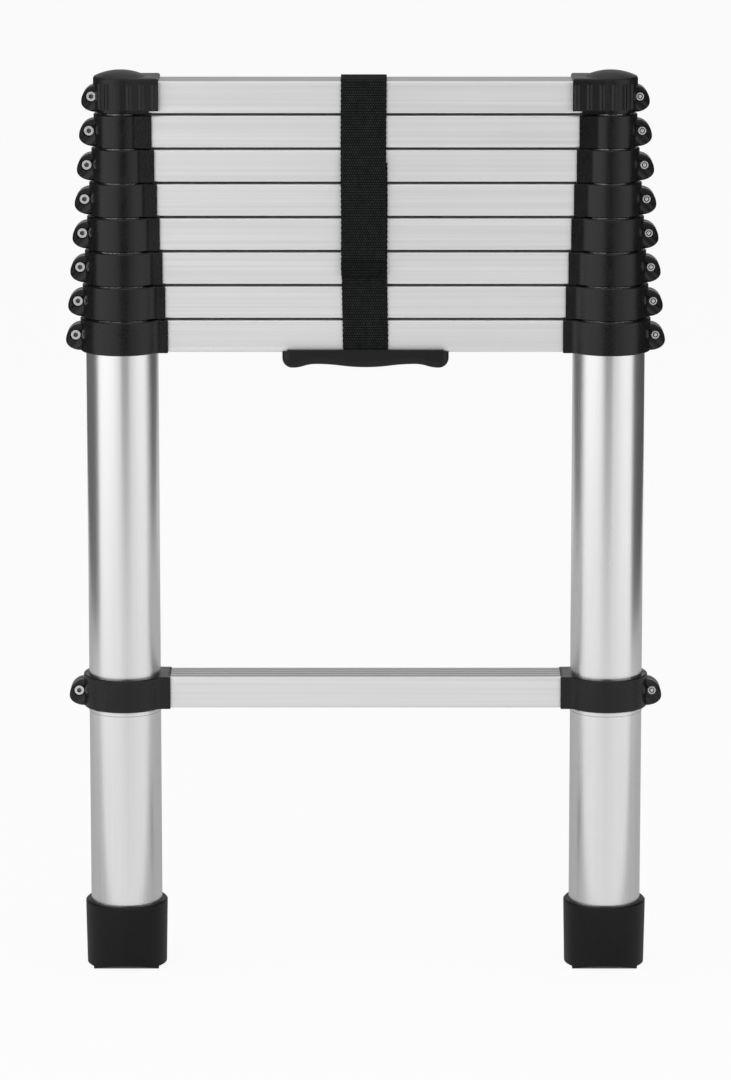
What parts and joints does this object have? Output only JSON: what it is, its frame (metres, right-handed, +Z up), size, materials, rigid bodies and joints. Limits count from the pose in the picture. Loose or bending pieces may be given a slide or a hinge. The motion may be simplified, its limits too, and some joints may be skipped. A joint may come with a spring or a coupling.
{
  "type": "telescopic ladder",
  "caption": "Telescopic aluminium ladder, closed: nested round tubes, hollow rungs stacked at the top in black clamp collars, ribbed caps, rubber feet, carry handle and strap.",
  "frame": {"origin": "on the floor under the middle of the ladder, midway between the two feet", "axes": "+Z up along the tubes, +X across the rungs, the front faces -Y"},
  "size_m": [0.4794, 0.0668, 0.7347],
  "materials": {
    "foot_rubber": "matt black rubber with a treaded sole",
    "tube_aluminium": "satin anodised, drawn lengthwise",
    "rung_aluminium": "satin extruded, fine lines along the rung",
    "clamp_plastic": "black moulded plastic, fine grain",
    "cap_plastic": "black moulded plastic, ribbed",
    "handle_plastic": "black moulded plastic, soft grip",
    "screw_steel": "zinc plated, socket head",
    "strap_webbing": "black woven webbing with hook and loop ends"
  },
  "bodies": {
    "base": {"feet": "foot_rubber", "stage_1_tubes": "tube_aluminium", "rung_1": "rung_aluminium", "rung_1_clamps": "clamp_plastic", "rung_1_screws": "screw_steel", "rung_2": "rung_aluminium", "rung_2_clamps": "clamp_plastic", "rung_2_screws": "screw_steel", "handle": "handle_plastic", "strap_lower": "strap_webbing"},
    "stage_2": {"stage_2_tubes": "tube_aluminium", "rung_3": "rung_aluminium", "rung_3_clamps": "clamp_plastic", "rung_3_screws": "screw_steel"},
    "stage_3": {"stage_3_tubes": "tube_aluminium", "rung_4": "rung_aluminium", "rung_4_clamps": "clamp_plastic", "rung_4_screws": "screw_steel"},
    "stage_4": {"stage_4_tubes": "tube_aluminium", "rung_5": "rung_aluminium", "rung_5_clamps": "clamp_plastic", "rung_5_screws": "screw_steel"},
    "stage_5": {"stage_5_tubes": "tube_aluminium", "rung_6": "rung_aluminium", "rung_6_clamps": "clamp_plastic", "rung_6_screws": "screw_steel"},
    "stage_6": {"stage_6_tubes": "tube_aluminium", "rung_7": "rung_aluminium", "rung_7_clamps": "clamp_plastic", "rung_7_screws": "screw_steel"},
    "stage_7": {"stage_7_tubes": "tube_aluminium", "rung_8": "rung_aluminium", "rung_8_clamps": "clamp_plastic", "rung_8_screws": "screw_steel"},
    "stage_8": {"stage_8_tubes": "tube_aluminium", "rung_9": "rung_aluminium", "rung_9_clamps": "clamp_plastic", "rung_9_screws": "screw_steel", "top_caps": "cap_plastic", "strap_upper": "strap_webbing"}
  },
  "joints": [
    {"name": "stage_2_slide", "type": "slide", "parent": "base", "child": "stage_2", "axis": [0, 0, 1], "range_m": [0, 0.2646]},
    {"name": "stage_3_slide", "type": "slide", "parent": "stage_2", "child": "stage_3", "axis": [0, 0, 1], "range_m": [0, 0.2646]},
    {"name": "stage_4_slide", "type": "slide", "parent": "stage_3", "child": "stage_4", "axis": [0, 0, 1], "range_m": [0, 0.2646]},
    {"name": "stage_5_slide", "type": "slide", "parent": "stage_4", "child": "stage_5", "axis": [0, 0, 1], "range_m": [0, 0.2646]},
    {"name": "stage_6_slide", "type": "slide", "parent": "stage_5", "child": "stage_6", "axis": [0, 0, 1], "range_m": [0, 0.2646]},
    {"name": "stage_7_slide", "type": "slide", "parent": "stage_6", "child": "stage_7", "axis": [0, 0, 1], "range_m": [0, 0.2646]},
    {"name": "stage_8_slide", "type": "slide", "parent": "stage_7", "child": "stage_8", "axis": [0, 0, 1], "range_m": [0, 0.2646]}
  ]
}
